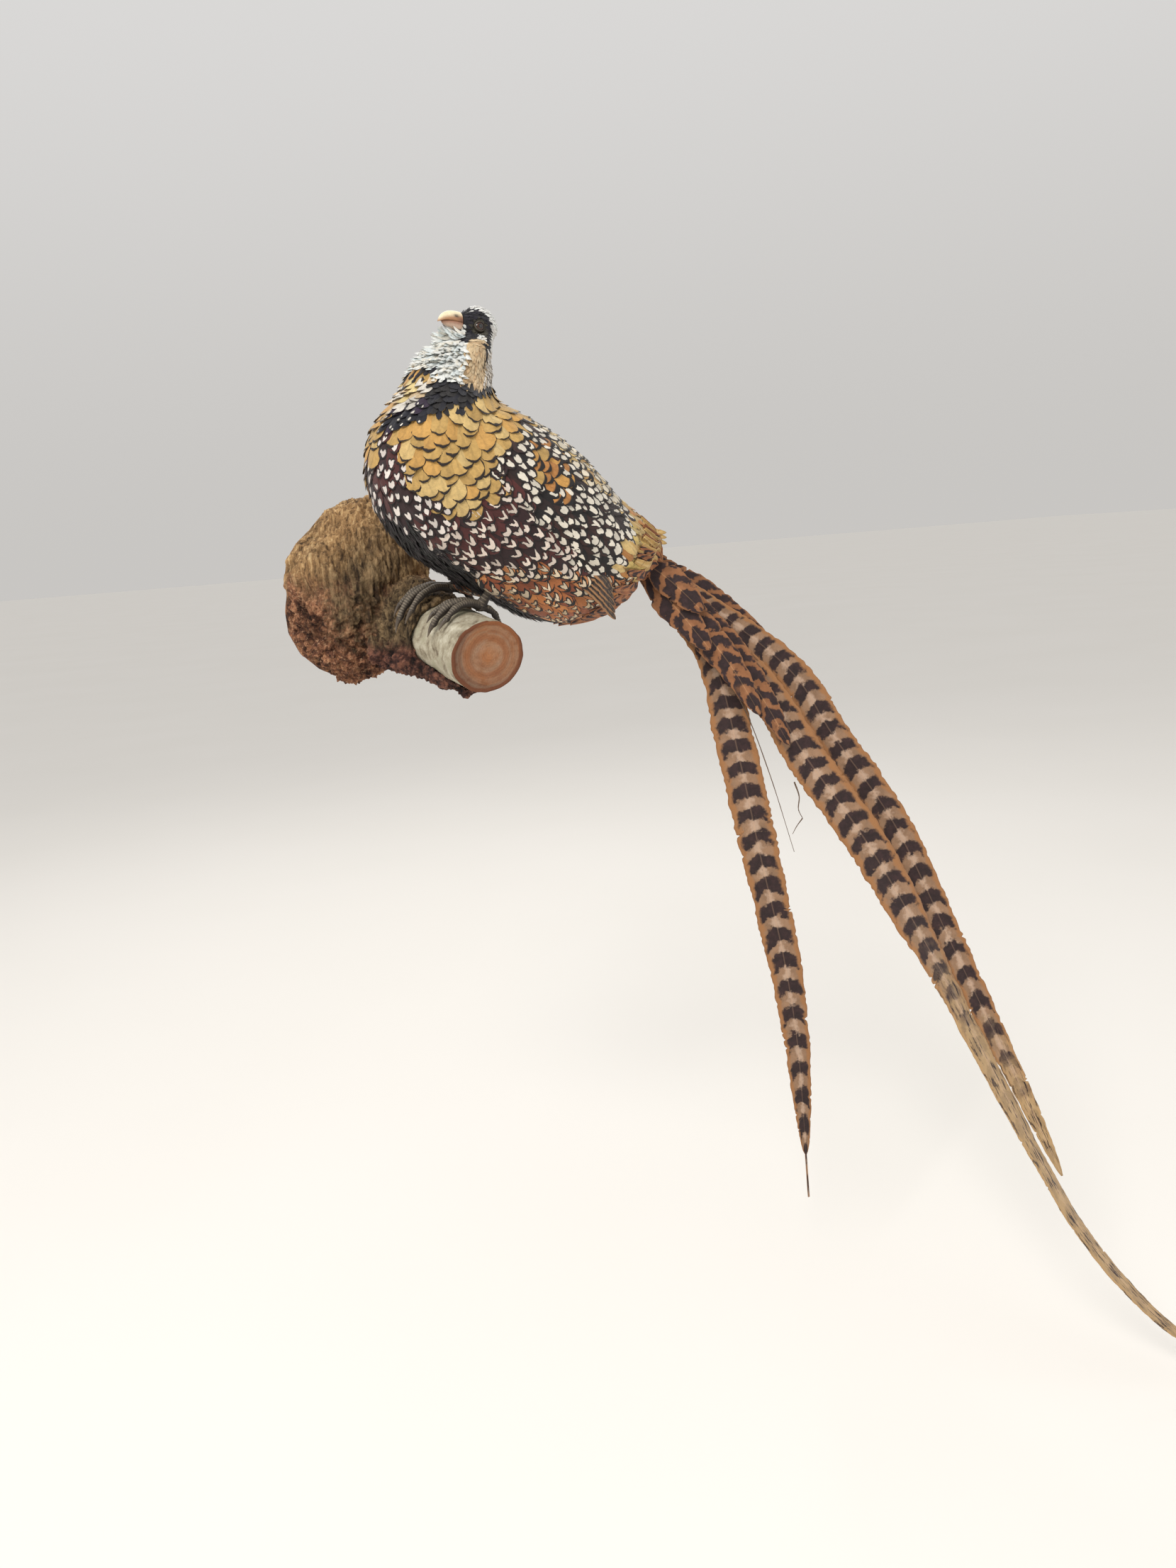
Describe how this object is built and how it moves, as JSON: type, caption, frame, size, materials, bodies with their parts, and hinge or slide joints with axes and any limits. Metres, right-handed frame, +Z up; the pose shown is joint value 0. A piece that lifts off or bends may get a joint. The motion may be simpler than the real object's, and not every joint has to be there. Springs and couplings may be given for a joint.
{
  "type": "taxidermy reeves's pheasant on a wall log",
  "caption": "Life-size mounted long-tailed pheasant cock, perched on a cut branch that stands out of a rough burl with a flat back for hanging on a wall.",
  "frame": {"origin": "centre of the burl's flat back face, which lies against the wall", "axes": "+Z up, +Y into the wall, so -Y is out towards the viewer; the bird faces -X and its tail hangs towards +X"},
  "size_m": [0.7542, 0.5229, 1.0808],
  "materials": {
    "body_feathers": "overlapping body feathers: gold scales edged black, maroon marked white, black belly, golden rump",
    "head_feathers": "short feathers: white crown and throat, black mask and collar",
    "wing_feathers": "white feathers edged black and brown, gold shoulder",
    "tail_feathers": "long vanes, buff grey barred black-brown, with chestnut edges",
    "bill_horn": "pale horn bill, softly polished",
    "claw_horn": "dark horn claws",
    "leg_scales": "dry grey-brown scaled skin",
    "glass_eye": "dark glossy glass eye",
    "branch_wood": "smooth pale grey bark with a sawn orange-brown end",
    "burl_wood": "rough brown burl, fibrous above and crumbly below"
  },
  "bodies": {
    "root": {"bill_lower": "bill_horn", "bill_upper": "bill_horn", "claw_left_hind": "claw_horn", "claw_left_inner": "claw_horn", "claw_left_middle": "claw_horn", "claw_left_outer": "claw_horn", "claw_right_hind": "claw_horn", "claw_right_inner": "claw_horn", "claw_right_middle": "claw_horn", "claw_right_outer": "claw_horn", "eye_left": "glass_eye", "eye_right": "glass_eye", "head": "head_feathers", "log_branch": "branch_wood", "log_burl": "burl_wood", "log_knee": "burl_wood", "log_rib": "burl_wood", "neck": "head_feathers", "rump": "body_feathers", "tail_long_far": "tail_feathers", "tail_long_near": "tail_feathers", "tail_mid_near": "tail_feathers", "tail_short_far_1": "tail_feathers", "tail_short_far_2": "tail_feathers", "tail_short_far_3": "tail_feathers", "tail_short_far_4": "tail_feathers", "tail_short_near_1": "tail_feathers", "tail_short_near_2": "tail_feathers", "tail_short_near_3": "tail_feathers", "tail_short_near_4": "tail_feathers", "tarsus_left": "leg_scales", "tarsus_right": "leg_scales", "thigh_left": "body_feathers", "thigh_right": "body_feathers", "toe_left_hind": "leg_scales", "toe_left_inner": "leg_scales", "toe_left_middle": "leg_scales", "toe_left_outer": "leg_scales", "toe_right_hind": "leg_scales", "toe_right_inner": "leg_scales", "toe_right_middle": "leg_scales", "toe_right_outer": "leg_scales", "trunk": "body_feathers", "wing_left": "wing_feathers", "wing_right": "wing_feathers", "wing_tip_left": "wing_feathers", "wing_tip_right": "wing_feathers"}
  },
  "joints": []
}
